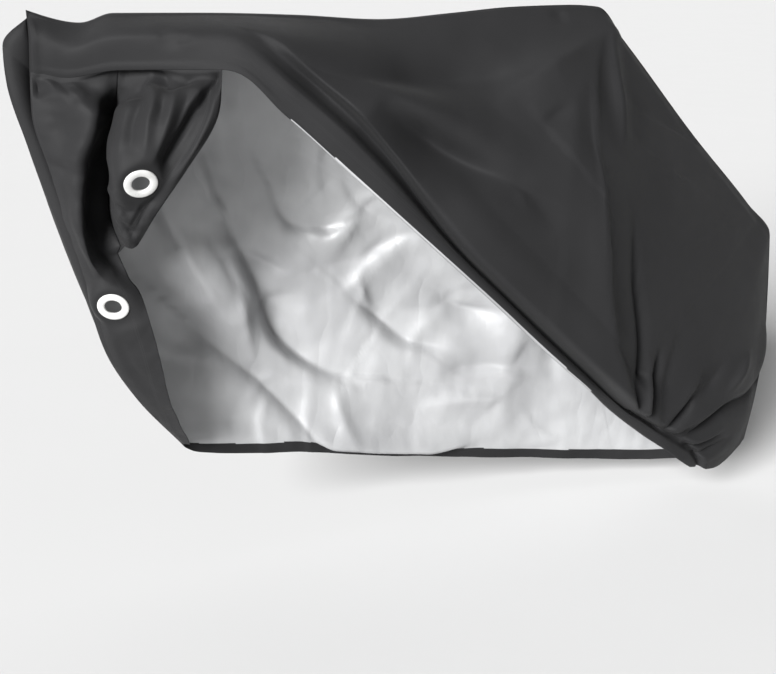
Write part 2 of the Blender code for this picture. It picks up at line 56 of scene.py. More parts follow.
# Sections of the two side panels, from the nose to the foot of the tail.
#    near hem                 near waist               ridge                  far shoulder           far waist              far hem
SECTIONS = np.array((
    ((-0.608, +0.190, 1.049), (-0.607, +0.180, 1.105), (-0.605, 0.200, 1.157), (-0.608, 0.190, 1.049), (-0.529, 0.184, 0.620), (-0.362, 0.195, 0.282)),  # nose
    ((-0.592, +0.179, 1.045), (-0.594, +0.168, 1.102), (-0.594, 0.199, 1.153), (-0.649, 0.204, 1.098), (-0.542, 0.206, 0.620), (-0.352, 0.208, 0.266)),  # far grip
    ((-0.548, +0.148, 1.038), (-0.540, +0.135, 1.088), (-0.515, 0.178, 1.134), (-0.575, 0.270, 1.035), (-0.492, 0.260, 0.660), (-0.290, 0.225, 0.235)),  # dip
    ((-0.470, +0.095, 1.052), (-0.480, +0.090, 1.106), (-0.460, 0.155, 1.151), (-0.490, 0.262, 1.030), (-0.400, 0.275, 0.690), (-0.205, 0.230, 0.216)),  # brakes
    ((-0.313, -0.015, 1.055), (-0.315, +0.008, 1.112), (-0.300, 0.108, 1.150), (-0.300, 0.215, 1.010), (-0.220, 0.258, 0.680), (-0.090, 0.225, 0.198)),  # stem
    ((-0.214, -0.075, 0.973), (-0.172, -0.060, 1.075), (-0.130, 0.072, 1.144), (-0.110, 0.175, 0.990), (-0.060, 0.240, 0.670), (+0.040, 0.220, 0.168)),  # lever
    ((-0.112, -0.122, 0.868), (-0.030, -0.118, 1.015), (+0.030, 0.045, 1.134), (+0.050, 0.145, 0.980), (+0.080, 0.222, 0.660), (+0.170, 0.220, 0.140)),  # near grip
    ((-0.006, -0.155, 0.764), (+0.085, -0.148, 0.915), (+0.170, 0.022, 1.144), (+0.185, 0.120, 0.980), (+0.210, 0.205, 0.650), (+0.290, 0.210, 0.118)),  # frame
    ((+0.168, -0.180, 0.598), (+0.235, -0.150, 0.840), (+0.300, 0.008, 1.154), (+0.310, 0.100, 0.985), (+0.330, 0.185, 0.640), (+0.400, 0.200, 0.100)),  # pedals
    ((+0.350, -0.158, 0.432), (+0.365, -0.135, 0.750), (+0.420, 0.000, 1.156), (+0.420, 0.085, 1.010), (+0.420, 0.165, 0.630), (+0.480, 0.190, 0.088)),  # stays
    ((+0.525, -0.130, 0.284), (+0.440, -0.122, 0.640), (+0.500, 0.000, 1.151), (+0.500, 0.078, 1.000), (+0.505, 0.150, 0.620), (+0.560, 0.170, 0.078)),  # saddle
    ((+0.577, -0.121, 0.242), (+0.560, -0.105, 0.600), (+0.570, 0.000, 1.080), (+0.570, 0.070, 0.920), (+0.580, 0.135, 0.570), (+0.620, 0.155, 0.070)),  # rack
    ((+0.645, -0.109, 0.186), (+0.700, -0.095, 0.520), (+0.770, 0.000, 0.865), (+0.755, 0.060, 0.740), (+0.730, 0.115, 0.460), (+0.710, 0.125, 0.062)),  # rear axle
    ((+0.677, -0.104, 0.160), (+0.805, -0.088, 0.440), (+0.940, 0.000, 0.695), (+0.905, 0.050, 0.600), (+0.850, 0.095, 0.370), (+0.780, 0.100, 0.058)),  # tyre
    ((+0.692, -0.101, 0.148), (+0.850, -0.082, 0.390), (+1.012, 0.000, 0.615), (+0.970, 0.045, 0.530), (+0.900, 0.085, 0.330), (+0.820, 0.085, 0.058)),  # tail tip
    ((+0.712, -0.096, 0.133), (+0.880, -0.075, 0.265), (+1.018, 0.000, 0.380), (+0.990, 0.035, 0.330), (+0.940, 0.065, 0.220), (+0.870, 0.065, 0.062)),  # tail
    ((+0.727, -0.090, 0.122), (+0.880, -0.062, 0.160), (+0.998, 0.000, 0.220), (+0.982, 0.024, 0.190), (+0.952, 0.045, 0.140), (+0.905, 0.045, 0.072)),  # tail heel
    ((+0.740, -0.085, 0.114), (+0.855, -0.045, 0.086), (+0.972, 0.000, 0.112), (+0.969, 0.010, 0.105), (+0.963, 0.018, 0.097), (+0.950, 0.030, 0.086)),  # tail foot
))
BRAKES, STEM = 3, 4  # rows of the sections where the strip's valley and the hem begin

# The nose strip, level by level: the front seam, the crest, the lip, and the valley, lower down the hem.
NOSE = np.array((
    ((-0.608, +0.190, 1.049), (-0.565, +0.160, 1.040), (-0.520, +0.130, 1.043), (-0.470, +0.095, 1.052)),
    ((-0.612, +0.178, 0.975), (-0.570, +0.132, 0.975), (-0.520, +0.090, 0.975), (-0.462, +0.170, 0.965)),
    ((-0.590, +0.175, 0.875), (-0.572, +0.142, 0.878), (-0.547, +0.114, 0.880), (-0.470, +0.205, 0.870)),
    ((-0.565, +0.175, 0.785), (-0.558, +0.152, 0.785), (-0.548, +0.130, 0.785), (-0.478, +0.200, 0.780)),
    ((-0.546, +0.178, 0.710), (-0.540, +0.154, 0.710), (-0.537, +0.134, 0.710), (-0.470, +0.150, 0.712)),
    ((-0.527, +0.185, 0.605), (-0.512, +0.145, 0.606), (-0.480, +0.124, 0.610), (-0.444, +0.112, 0.615)),
    ((-0.503, +0.188, 0.500), (-0.488, +0.158, 0.503), (-0.454, +0.135, 0.508), (-0.420, +0.115, 0.510)),
    ((-0.452, +0.192, 0.400), (-0.438, +0.170, 0.403), (-0.418, +0.150, 0.405), (-0.400, +0.132, 0.405)),
    ((-0.362, +0.195, 0.282), (-0.360, +0.186, 0.283), (-0.356, +0.177, 0.285), (-0.352, +0.168, 0.287)),
))

# The near flap, level by level: its edge, its middle and its hem.
FLAP = np.array((
    ((-0.440, +0.073, 1.053), (-0.385, +0.035, 1.054), (-0.313, -0.015, 1.055)),
    ((-0.477, +0.055, 0.975), (-0.420, -0.010, 0.985), (-0.330, -0.035, 0.975)),
    ((-0.508, +0.030, 0.890), (-0.450, -0.025, 0.905), (-0.386, -0.020, 0.880)),
    ((-0.503, +0.045, 0.800), (-0.470, +0.020, 0.810), (-0.434, +0.015, 0.800)),
    ((-0.482, +0.065, 0.735), (-0.474, +0.055, 0.732), (-0.464, +0.052, 0.738)),
))

# Folds, each along a line of (x, z) places from its start to its end. Rise out of the cloth at the start,
# middle and end; how far it dies away to the left and to the right of the line, seen from the near side;
# and its power: 1 a pinched ridge, 2 a round roll.
NEAR_FOLDS = (
    # the crest from the saddle down to the gather, the hollow on its nose side, the ridge behind it
    (((0.488, 1.088), (0.430, 0.990), (0.402, 0.878), (0.388, 0.794), (0.394, 0.619), (0.422, 0.499), (0.462, 0.400), (0.548, 0.270)), (0.006, 0.059, 0.016), 0.260, 0.090, 1.0),
    (((0.488, 1.088), (0.430, 0.990), (0.402, 0.878), (0.388, 0.794), (0.394, 0.619), (0.422, 0.499), (0.462, 0.400), (0.548, 0.270)), (0.002, 0.004, 0.003), 0.006, 0.012, 1.2),
    (((0.517, 1.090), (0.503, 1.015), (0.492, 0.920), (0.488, 0.840)), (0.010, 0.022, 0.000), 0.030, 0.013, 1.1),
    # the slits beside it and the ridge between them
    (((0.500, 0.770), (0.504, 0.661), (0.512, 0.594), (0.533, 0.508), (0.541, 0.440), (0.541, 0.390)), (0.000, -0.018, -0.026), 0.013, 0.012, 1.2),
    (((0.600, 0.440), (0.600, 0.405), (0.590, 0.350), (0.583, 0.318), (0.572, 0.270)), (0.000, -0.024, -0.012), 0.010, 0.012, 1.15),
    (((0.574, 0.430), (0.568, 0.375), (0.556, 0.320), (0.570, 0.260)), (0.000, 0.012, 0.004), 0.010, 0.010, 1.2),
    (((0.508, 0.400), (0.530, 0.340), (0.560, 0.272)), (0.000, -0.018, -0.008), 0.008, 0.012, 1.2),
    # the fan under the saddle
    (((0.483, 1.090), (0.389, 1.055), (0.312, 1.025), (0.243, 0.997), (0.205, 0.960)), (0.008, 0.032, 0.000), 0.090, 0.024, 1.1),
    (((0.475, 1.083), (0.430, 1.030), (0.384, 0.974), (0.345, 0.880), (0.322, 0.800), (0.307, 0.722)), (0.004, 0.011, 0.004), 0.300, 0.034, 1.2),
    (((0.283, 0.924), (0.303, 0.935), (0.333, 0.947), (0.364, 0.962)), (0.000, -0.007, 0.000), 0.006, 0.014, 1.2),
    (((0.392, 0.985), (0.395, 0.900), (0.390, 0.800)), (0.000, -0.012, 0.000), 0.030, 0.030, 1.8),
    # behind the near grip
    (((-0.055, 1.002), (-0.015, 0.970), (0.040, 0.932), (0.100, 0.892), (0.160, 0.858), (0.212, 0.830)), (0.000, -0.066, -0.010), 0.026, 0.046, 1.4),
    (((0.205, 0.806), (0.225, 0.832), (0.250, 0.806), (0.275, 0.768), (0.300, 0.728)), (-0.004, -0.008, 0.000), 0.030, 0.018, 1.6),
    # the long dip under the ridge, and the light swell below it
    (((-0.200, 1.086), (-0.062, 1.064), (0.030, 1.056), (0.129, 1.042), (0.240, 1.026), (0.340, 1.040)), (0.000, -0.048, 0.000), 0.034, 0.050, 1.5),
    (((-0.250, 1.050), (-0.100, 1.010), (0.020, 0.985), (0.120, 0.965)), (0.002, 0.012, 0.000), 0.030, 0.040, 1.8),
    (((-0.500, 1.120), (-0.300, 1.128), (-0.100, 1.112), (0.150, 1.098), (0.320, 1.095)), (0.000, 0.004, 0.000), 0.018, 0.020, 2.0),
    (((-0.398, 1.132), (-0.391, 1.105), (-0.384, 1.078)), (0.000, -0.005, 0.000), 0.006, 0.012, 1.3),
    (((-0.375, 1.118), (-0.368, 1.098)), (0.000, -0.004, 0.000), 0.008, 0.006, 1.4),
    (((0.384, 1.152), (0.395, 1.142), (0.420, 1.128)), (-0.005, -0.008, 0.000), 0.006, 0.010, 1.3),
    # the roll above the hem and over the near grip
    (((-0.190, 1.000), (-0.090, 0.940), (0.020, 0.845)), (0.004, 0.010, 0.004), 0.045, 0.045, 1.8),
    (((0.030, 0.860), (0.160, 0.745), (0.300, 0.620), (0.430, 0.490), (0.520, 0.380)), (0.000, 0.006, 0.002), 0.040, 0.040, 2.0),
    # the gather at the rear wheel: folds up, out to the tail and along the foot
    (((0.604, 0.222), (0.592, 0.262), (0.590, 0.300), (0.605, 0.350)), (-0.012, -0.014, 0.000), 0.008, 0.014, 1.2),
    (((0.622, 0.212), (0.622, 0.300), (0.640, 0.390), (0.668, 0.470)), (-0.008, -0.008, 0.000), 0.014, 0.020, 1.6),
    (((0.618, 0.222), (0.650, 0.242), (0.695, 0.270), (0.730, 0.302)), (-0.020, -0.032, -0.004), 0.018, 0.009, 1.1),
    (((0.720, 0.292), (0.775, 0.318), (0.822, 0.368)), (0.000, -0.012, 0.000), 0.030, 0.014, 1.3),
    (((0.640, 0.226), (0.690, 0.300), (0.750, 0.360)), (0.004, 0.012, 0.000), 0.020, 0.014, 1.5),
    (((0.640, 0.205), (0.670, 0.198), (0.720, 0.205), (0.775, 0.220), (0.835, 0.243), (0.906, 0.240), (0.985, 0.268)), (-0.014, -0.028, -0.012), 0.012, 0.014, 1.1),
    (((0.690, 0.232), (0.790, 0.252), (0.880, 0.262)), (0.004, 0.010, 0.000), 0.012, 0.012, 1.4),
    (((0.655, 0.212), (0.690, 0.214), (0.728, 0.224)), (-0.010, -0.018, 0.000), 0.010, 0.006, 1.15),
    (((0.668, 0.182), (0.720, 0.172), (0.769, 0.168), (0.840, 0.178)), (-0.014, -0.024, 0.000), 0.010, 0.007, 1.15),
    (((0.680, 0.192), (0.760, 0.184), (0.840, 0.190)), (0.004, 0.010, 0.000), 0.009, 0.009, 1.4),
    (((0.695, 0.160), (0.760, 0.142), (0.814, 0.148), (0.870, 0.160)), (-0.012, -0.020, 0.000), 0.010, 0.006, 1.15),
    (((0.820, 0.270), (0.850, 0.305), (0.873, 0.326), (0.910, 0.370)), (0.000, 0.014, 0.000), 0.010, 0.020, 1.3),
    (((0.955, 0.250), (0.985, 0.330), (0.995, 0.420)), (0.004, 0.010, 0.000), 0.020, 0.016, 1.6),
)
# Positive is away from the bicycle, so from the inside it is a hollow.
FAR_FOLDS = (
    (((-0.225, 0.720), (-0.200, 0.660), (-0.160, 0.560), (-0.130, 0.466), (-0.080, 0.410), (-0.010, 0.362), (0.035, 0.350)), (0.010, 0.044, 0.014), 0.110, 0.015, 1.05),
    (((-0.185, 0.600), (-0.155, 0.515), (-0.133, 0.437), (-0.066, 0.380), (0.000, 0.344)), (-0.004, -0.016, -0.004), 0.012, 0.045, 1.1),
    (((-0.310, 0.510), (-0.244, 0.440), (-0.191, 0.389), (-0.114, 0.302), (-0.050, 0.232), (0.040, 0.195)), (0.008, 0.030, 0.010), 0.130, 0.022, 1.05),
    (((-0.330, 0.360), (-0.200, 0.290), (-0.090, 0.250)), (0.000, 0.018, 0.000), 0.040, 0.040, 1.8),
    (((-0.130, 0.772), (-0.085, 0.700), (-0.020, 0.688), (0.044, 0.708), (0.085, 0.750)), (0.006, 0.018, 0.004), 0.070, 0.012, 1.1),
    (((-0.074, 0.705), (-0.009, 0.665), (0.040, 0.715), (0.101, 0.723)), (0.000, -0.009, 0.000), 0.012, 0.030, 1.2),
    (((-0.015, 0.605), (0.026, 0.671), (0.060, 0.735), (0.110, 0.800)), (0.000, -0.010, -0.003), 0.060, 0.012, 1.1),
    (((-0.010, 0.600), (0.088, 0.632), (0.154, 0.663), (0.200, 0.672)), (0.004, 0.012, 0.000), 0.040, 0.014, 1.1),
    (((0.030, 0.540), (0.070, 0.589), (0.121, 0.630), (0.175, 0.655)), (0.000, -0.011, 0.000), 0.014, 0.060, 1.1),
    (((0.030, 0.545), (0.083, 0.494), (0.140, 0.440), (0.190, 0.400)), (0.004, 0.028, 0.004), 0.080, 0.013, 1.05),
    (((0.055, 0.590), (0.066, 0.530), (0.100, 0.480)), (0.000, -0.014, 0.000), 0.010, 0.030, 1.1),
    (((0.101, 0.439), (0.195, 0.404), (0.280, 0.384)), (0.000, 0.018, 0.000), 0.045, 0.010, 1.1),
    (((-0.210, 0.662), (-0.151, 0.624), (-0.090, 0.590)), (0.000, 0.014, 0.000), 0.012, 0.030, 1.1),
    (((-0.250, 0.640), (-0.207, 0.551), (-0.191, 0.463), (-0.180, 0.390)), (-0.004, -0.018, 0.000), 0.012, 0.040, 1.1),
    (((-0.239, 0.639), (-0.214, 0.572), (-0.203, 0.500)), (0.004, 0.012, 0.000), 0.010, 0.016, 1.2),
    (((0.225, 0.510), (0.313, 0.475), (0.400, 0.462)), (0.000, 0.020, 0.000), 0.012, 0.050, 1.1),
    (((0.180, 0.250), (0.300, 0.262), (0.430, 0.250)), (0.000, -0.014, 0.000), 0.012, 0.036, 1.1),
    (((0.250, 0.330), (0.370, 0.335), (0.480, 0.310)), (0.000, 0.014, 0.000), 0.036, 0.010, 1.1),
    (((-0.005, 0.330), (0.007, 0.260), (0.045, 0.212)), (0.000, -0.014, 0.000), 0.030, 0.010, 1.1),
    (((0.050, 0.780), (0.180, 0.700), (0.300, 0.560)), (-0.006, -0.030, -0.006), 0.090, 0.030, 1.3),
    (((-0.400, 0.900), (-0.330, 0.700), (-0.200, 0.450)), (-0.006, -0.024, 0.000), 0.070, 0.024, 1.2),
    (((0.470, 1.000), (0.450, 0.600), (0.400, 0.200)), (-0.008, -0.036, -0.010), 0.060, 0.070, 1.5),
    (((0.510, 1.020), (0.550, 0.640), (0.640, 0.250)), (-0.006, -0.030, -0.010), 0.050, 0.060, 1.4),
    (((0.480, 0.900), (0.500, 0.620), (0.520, 0.300)), (0.000, 0.018, 0.006), 0.020, 0.020, 1.5),
    (((0.700, 0.700), (0.760, 0.430), (0.800, 0.150)), (0.006, 0.022, 0.006), 0.050, 0.050, 1.8),
    (((-0.560, 1.040), (-0.500, 0.860), (-0.460, 0.600)), (0.000, 0.016, 0.000), 0.030, 0.040, 1.5),
    (((-0.500, 1.060), (-0.420, 0.930), (-0.380, 0.740)), (-0.006, -0.016, 0.000), 0.030, 0.030, 1.5),
    (((-0.280, 1.050), (-0.240, 0.900), (-0.230, 0.740)), (0.006, 0.016, 0.000), 0.030, 0.040, 1.6),
)
NOSE_FOLDS = (
    (((-0.600, 1.046), (-0.586, 1.034), (-0.570, 1.022), (-0.550, 1.000)), (0.006, 0.013, 0.000), 0.010, 0.012, 1.2),
    (((-0.609, 1.040), (-0.607, 1.020), (-0.600, 1.000)), (-0.008, -0.018, 0.000), 0.012, 0.010, 1.3),
    (((-0.580, 1.040), (-0.560, 1.018), (-0.540, 0.996)), (0.000, -0.006, 0.000), 0.006, 0.006, 1.4),
    (((-0.566, 1.040), (-0.547, 1.030), (-0.520, 1.006)), (0.000, 0.009, 0.000), 0.008, 0.010, 1.3),
    (((-0.583, 1.005), (-0.575, 0.946), (-0.562, 0.905)), (0.000, -0.008, 0.000), 0.018, 0.014, 1.8),
    (((-0.607, 0.895), (-0.592, 0.888), (-0.572, 0.874), (-0.540, 0.858)), (0.000, -0.005, 0.000), 0.005, 0.010, 1.3),
    (((-0.570, 0.850), (-0.560, 0.820), (-0.552, 0.790)), (0.000, -0.003, 0.000), 0.008, 0.010, 1.5),
    (((-0.601, 0.950), (-0.581, 0.850), (-0.559, 0.762), (-0.540, 0.674), (-0.530, 0.600)), (0.000, 0.007, 0.002), 0.014, 0.008, 1.2),
    (((-0.484, 1.040), (-0.492, 1.016), (-0.508, 0.992), (-0.525, 0.931), (-0.536, 0.872), (-0.546, 0.798), (-0.546, 0.736), (-0.537, 0.673)), (0.002, 0.008, 0.002), 0.008, 0.016, 1.3),
    (((-0.484, 0.920), (-0.500, 0.850), (-0.505, 0.790), (-0.500, 0.730), (-0.488, 0.680)), (-0.004, -0.022, -0.006), 0.026, 0.026, 1.8),
    (((-0.500, 0.560), (-0.470, 0.480), (-0.420, 0.400)), (0.000, -0.006, 0.000), 0.010, 0.012, 1.6),
    (((-0.510, 0.750), (-0.482, 0.700), (-0.440, 0.655), (-0.420, 0.620)), (-0.004, -0.026, -0.006), 0.030, 0.022, 1.5),
)
FLAP_FOLDS = (
    (((-0.454, 1.048), (-0.449, 1.016), (-0.466, 0.986), (-0.488, 0.937), (-0.502, 0.900)), (0.006, 0.012, 0.004), 0.010, 0.012, 1.15),
    (((-0.441, 1.048), (-0.440, 1.018), (-0.455, 0.992), (-0.471, 0.958), (-0.484, 0.915)), (-0.010, -0.012, 0.000), 0.007, 0.007, 1.3),
    (((-0.426, 1.050), (-0.422, 1.020), (-0.430, 0.995), (-0.444, 0.965), (-0.462, 0.915)), (0.006, 0.015, 0.002), 0.008, 0.012, 1.15),
    (((-0.409, 1.051), (-0.401, 1.029), (-0.381, 1.038), (-0.360, 1.053)), (-0.010, -0.014, -0.008), 0.006, 0.010, 1.2),
    (((-0.412, 1.022), (-0.420, 0.995), (-0.436, 0.960)), (0.000, -0.007, 0.000), 0.005, 0.006, 1.3),
    (((-0.387, 1.032), (-0.405, 0.989), (-0.430, 0.939), (-0.452, 0.895)), (0.004, 0.013, 0.002), 0.010, 0.010, 1.15),
    (((-0.368, 1.026), (-0.390, 0.985), (-0.415, 0.940)), (0.000, -0.008, 0.000), 0.006, 0.007, 1.3),
    (((-0.335, 1.040), (-0.356, 1.018), (-0.380, 0.994), (-0.402, 0.955), (-0.424, 0.920)), (0.004, 0.012, 0.000), 0.008, 0.008, 1.15),
    (((-0.322, 1.042), (-0.346, 1.013), (-0.370, 0.985), (-0.396, 0.946), (-0.420, 0.904), (-0.444, 0.828)), (-0.012, -0.024, -0.010), 0.009, 0.012, 1.4),
    (((-0.326, 1.010), (-0.348, 0.970), (-0.378, 0.915), (-0.412, 0.850)), (0.002, 0.008, 0.002), 0.010, 0.008, 1.4),
    (((-0.504, 0.846), (-0.488, 0.830), (-0.470, 0.826)), (0.002, 0.005, 0.000), 0.005, 0.006, 1.3),
    (((-0.500, 0.818), (-0.484, 0.806), (-0.466, 0.808)), (-0.003, -0.005, 0.000), 0.004, 0.005, 1.3),
    (((-0.496, 0.800), (-0.480, 0.786), (-0.464, 0.782)), (0.003, 0.005, 0.000), 0.005, 0.004, 1.3),
    (((-0.490, 0.782), (-0.478, 0.768), (-0.466, 0.762)), (-0.002, -0.005, 0.000), 0.004, 0.004, 1.3),
    (((-0.486, 0.762), (-0.476, 0.750), (-0.468, 0.746)), (0.002, 0.004, 0.000), 0.004, 0.004, 1.3),
)

# The near hem from its edge inwards: a rounded casing, the deep groove above it, and the overhanging cloth.
HEM_FROM_EDGE = np.array((0.000, 0.003, 0.013, 0.023, 0.028, 0.033, 0.040, 0.046, 0.052, 0.060, 0.085, 0.140))
HEM_RISE = np.array((-0.016, -0.011, -0.008, -0.011, -0.020, -0.036, -0.042, -0.034, 0.000, 0.012, 0.010, 0.000))
HEM_OVERHANG = np.array((0.000, 0.000, 0.000, 0.000, 0.000, 0.000, 0.002, 0.008, 0.014, 0.013, 0.006, 0.000))
# The flap's hem: a flat casing and the sharp groove beside it.
FLAP_HEM_FROM_EDGE = np.array((0.000, 0.003, 0.012, 0.017, 0.022, 0.030, 0.040, 0.060))
FLAP_HEM_RISE = np.array((-0.004, 0.000, 0.001, -0.001, -0.005, -0.004, 0.001, 0.000))

EYELETS = {
    "eyelet_near": (np.array((-0.466, -0.005, 0.862)), np.array((-0.10, -0.88, -0.46))),
    "eyelet_nose": (np.array((-0.497, +0.132, 0.606)), np.array((-0.40, -0.84, -0.37))),
}
EYELET_BORE, EYELET_FACE, EYELET_BACK, EYELET_CUT = 0.016, 0.030, 0.024, 0.0196
FLANGE, WASHER, GAP = 0.0032, 0.0016, 0.0004
FLAT_WITHIN, FLAT_FADES = 0.034, 0.062


def unit(vectors):
    return vectors / np.linalg.norm(vectors, axis=-1, keepdims=True)


def run(points):
    """Distance along a line of points, from 0 to 1."""
    steps = np.linalg.norm(np.diff(points, axis=0), axis=-1)
    return np.concatenate([[0.0], np.cumsum(steps)]) / steps.sum()


def smooth(knots, values, at):
    """Cubic through the values, without overshoot: level where they turn, else with the mean of the slopes beside."""
    step = np.diff(knots)
    slope = np.diff(values, axis=0) / step.reshape((-1,) + (1,) * (values.ndim - 1))
    before, after = (part.reshape((-1,) + (1,) * (values.ndim - 1)) for part in (step[:-1], step[1:]))
    mean = (slope[:-1] * after + slope[1:] * before) / (before + after)
    least = np.minimum(np.abs(slope[:-1]), np.abs(slope[1:]))
    inner = np.where(slope[:-1] * slope[1:] > 0, np.sign(mean) * np.minimum(np.abs(mean), 2 * least), 0.0)
    tangent = np.concatenate([slope[:1], inner, slope[-1:]])
    i = np.clip(np.searchsorted(knots, at, side="right") - 1, 0, len(step) - 1)
    shape = np.shape(at) + (1,) * (values.ndim - 1)
    h, t = step[i].reshape(shape), ((at - knots[i]) / step[i]).reshape(shape)
    return (
        (2 * t**3 - 3 * t**2 + 1) * values[i]
        + (t**3 - 2 * t**2 + t) * h * tangent[i]
        + (3 * t**2 - 2 * t**3) * values[i + 1]
        + (t**3 - t**2) * h * tangent[i + 1]
    )


def stations(points, spacing):
    """Shares along a line of points that include every point, about the spacing apart."""
    knots = run(points)
    lengths = np.linalg.norm(np.diff(points, axis=0), axis=-1)
    parts = [
        np.linspace(a, b, max(2, round(length / spacing)), endpoint=False)
        for a, b, length in zip(knots[:-1], knots[1:], lengths)
    ]
    return np.concatenate(parts + [[1.0]])


def loft(points, along, knots_along, across):
    """Surface through rows of points: smooth from row to row, then from column to column."""
    rows = smooth(knots_along, points, along)
    knots_across = run(points.mean(axis=0))
    return smooth(knots_across, rows.transpose(1, 0, 2), across).transpose(1, 0, 2)


def normals(surface):
    """Unit normals of a grid of points: the cross product of its two differences."""
    return unit(np.cross(np.gradient(surface, axis=0), np.gradient(surface, axis=1)))


def fade(share):
    """0 to 1 without a corner at either end: 3s^2 - 2s^3."""
    share = np.clip(share, 0.0, 1.0)
    return share * share * (3 - 2 * share)


def along_line(line, steps):
    """Points on the straight pieces of a line, each piece taking an even share of the steps."""
    at = np.linspace(0, len(line) - 1, steps + 1)
    i = np.minimum(at.astype(int), len(line) - 2)
    t = (at - i)[:, None]
    return line[i] * (1 - t) + line[i + 1] * t


def drawn_to(surface, side, line, reach):
    """The surface with one side moved onto a line. The move dies away over this share of the surface."""
    share = np.linspace(0, 1, surface.shape[0 if side == "first row" else 1])
    if side == "first row":
        return surface + (line - surface[0])[None] * (1 - fade(share / reach))[:, None, None]
    return surface + (line - surface[:, 0])[:, None] * (1 - fade(share / reach))[None, :, None]


def side_panel(points, knots, along, steps, across):
    """Surface of a side panel, from the ridge to the hem: sections joined smoothly, then each one followed.
    The first and last of its coarse steps are a seam's and a hem's width; across runs evenly over the steps."""
    rows = smooth(knots, points, along)
    lengths = np.linalg.norm(np.diff(rows, axis=1), axis=-1).sum(axis=1)
    first = np.clip(FIRST_STEP / lengths, 1 / steps, MOST_STEP)
    last = np.minimum(HEM_DEPTH / lengths, MOST_STEP)
    knots_across = run(points.mean(axis=0))
    made = []
    for row, a, b in zip(rows, first, last):
        coarse = np.concatenate([[0], np.linspace(a, 1 - b, steps - 1), [1]])
        made.append(smooth(knots_across, row, np.interp(across * steps, np.arange(steps + 1), coarse)))
    return np.array(made)


def folds(x, z, table, blunt=0.003):
    """Height of every fold at each place: rise(share along the line) times exp(-(distance / width)^power)."""
    height = np.zeros(np.shape(x))
    for points, rise, left, right, power in table:
        points = np.array(points)
        line = smooth(run(points), points, np.linspace(0, 1, 9 * len(points)))
        share = run(line)
        best = np.full(np.shape(x), np.inf)
        at, side = np.zeros(np.shape(x)), np.zeros(np.shape(x))
        for a, b, s0, s1 in zip(line[:-1], line[1:], share[:-1], share[1:]):
            t = b - a
            length = np.hypot(*t)
            t = t / length
            on = np.clip((x - a[0]) * t[0] + (z - a[1]) * t[1], 0, length)
            dx, dz = x - a[0] - on * t[0], z - a[1] - on * t[1]
            distance = np.hypot(dx, dz)
            nearer = distance < best
            best = np.where(nearer, distance, best)
            at = np.where(nearer, s0 + (s1 - s0) * on / length, at)
            side = np.where(nearer, t[0] * dz - t[1] * dx, side)
        width = right + (left - right) * fade(side / 0.004 + 0.5)
        away = np.sqrt(best**2 + blunt**2) - blunt
        height += smooth(np.array((0, 0.5, 1.0)), np.array(rise), at) * np.exp(-((away / width) ** power))
    return height


def short_creases(x_range, z_range, count, seed):
    """Rows for folds(): short creases placed by chance, each bent a little and steep on one side."""
    chance = np.random.default_rng(seed)
    rows = []
    for _ in range(count):
        middle = np.array((chance.uniform(*x_range), chance.uniform(*z_range)))
        turn, length, bend = chance.uniform(0, math.pi), chance.uniform(0.10, 0.26), chance.uniform(-0.04, 0.04)
        along, aside = np.array((math.cos(turn), math.sin(turn))), np.array((-math.sin(turn), math.cos(turn)))
        line = (middle - along * length / 2, middle + aside * bend, middle + along * length / 2)
        wide, narrow = chance.uniform(0.035, 0.070), chance.uniform(0.008, 0.012)
        sides = (wide, narrow) if chance.random() < 0.5 else (narrow, wide)
        rise = chance.choice((-1, 1)) * chance.uniform(0.003, 0.008)
        rows.append((line, (0.0, rise, 0.0), *sides, 1.1))
    return rows


def ripples(x, z, waves, size, height, seed):
    """Low wrinkles: a sum of plane sine waves of about one size, each turned and shifted by chance."""
    chance = np.random.default_rng(seed)
    total = np.zeros(np.shape(x))
    for _ in range(waves):
        turn, shift, length = chance.uniform(0, math.pi), chance.uniform(0, 6.28), size * chance.uniform(0.6, 1.7)
        total += np.sin(2 * math.pi * (x * math.cos(turn) + z * math.sin(turn)) / length + shift)
    return height * total / math.sqrt(waves)


def flatten(surface, name):
    """The surface with a flat round place for an eyelet. Cloth far behind the eyelet stays as it is."""
    middle, facing = EYELETS[name]
    facing = unit(facing)
    off = (surface - middle) @ facing
    radius = np.linalg.norm(surface - middle - off[..., None] * facing, axis=-1)
    flat = 1 - fade((radius - FLAT_WITHIN) / (FLAT_FADES - FLAT_WITHIN))
    flat = flat * (1 - fade(np.abs(off) / 0.046 - 0.5))
    return surface - (flat * off)[..., None] * facing


def raised(surface, height):
    return surface + normals(surface) * height[..., None]


def lengths_along(surface, axis):
    """Distance in metres from the first row or column to each point, along the grid."""
    step = np.linalg.norm(np.diff(surface, axis=axis), axis=-1)
    return np.concatenate([np.zeros_like(np.take(step, [0], axis=axis)), np.cumsum(step, axis=axis)], axis=axis)


